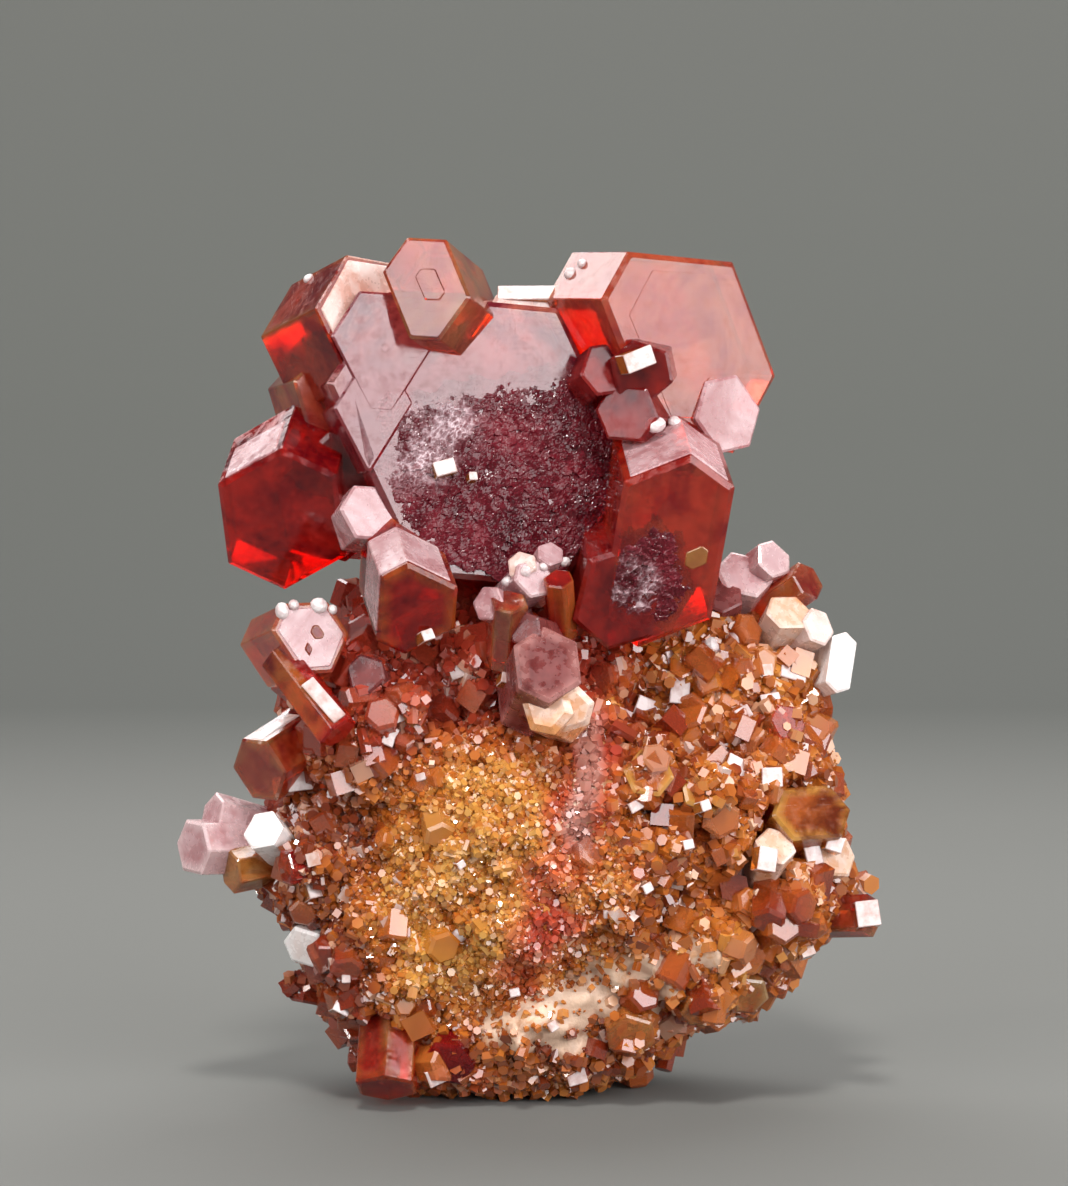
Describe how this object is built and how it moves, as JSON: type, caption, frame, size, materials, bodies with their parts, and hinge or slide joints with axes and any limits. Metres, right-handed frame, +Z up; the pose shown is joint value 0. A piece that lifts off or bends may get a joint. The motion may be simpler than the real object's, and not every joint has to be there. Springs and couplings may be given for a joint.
{
  "type": "vanadinite on matrix",
  "caption": "Mineral specimen: large red hexagonal vanadinite crystals standing on a rock with an amber crust of small crystals.",
  "frame": {"origin": "middle of the specimen's box, on the surface that it rests on", "axes": "+Z up, +X to the right seen from the front, +Y from the front to the back"},
  "size_m": [0.033, 0.0198, 0.04],
  "materials": {
    "crusted_rock": "rough rock under a glittering amber crystal crust",
    "deep_red_crystal": "glossy translucent deep red crystal, etched in places",
    "bright_red_crystal": "glossy translucent red crystal",
    "pink_crystal": "pale pink translucent crystal",
    "white_faced_crystal": "crystal with bright pale faces",
    "orange_crystal": "yellow-brown translucent crystal"
  },
  "bodies": {
    "root": {"matrix_rock": "crusted_rock", "large_crystal_cluster": "deep_red_crystal", "front_red_crystal": "bright_red_crystal", "front_small_crystals": "pink_crystal", "front_pink_crystal": "pink_crystal", "lower_left_crystals": "white_faced_crystal", "left_block_crystal": "bright_red_crystal", "far_left_crystals": "pink_crystal", "left_white_crystal": "white_faced_crystal", "bottom_left_crystal": "bright_red_crystal", "bottom_right_crystal": "orange_crystal", "right_edge_crystal": "bright_red_crystal", "right_tabular_crystals": "orange_crystal", "right_rear_crystals": "pink_crystal", "rear_red_crystals": "bright_red_crystal"}
  },
  "joints": []
}
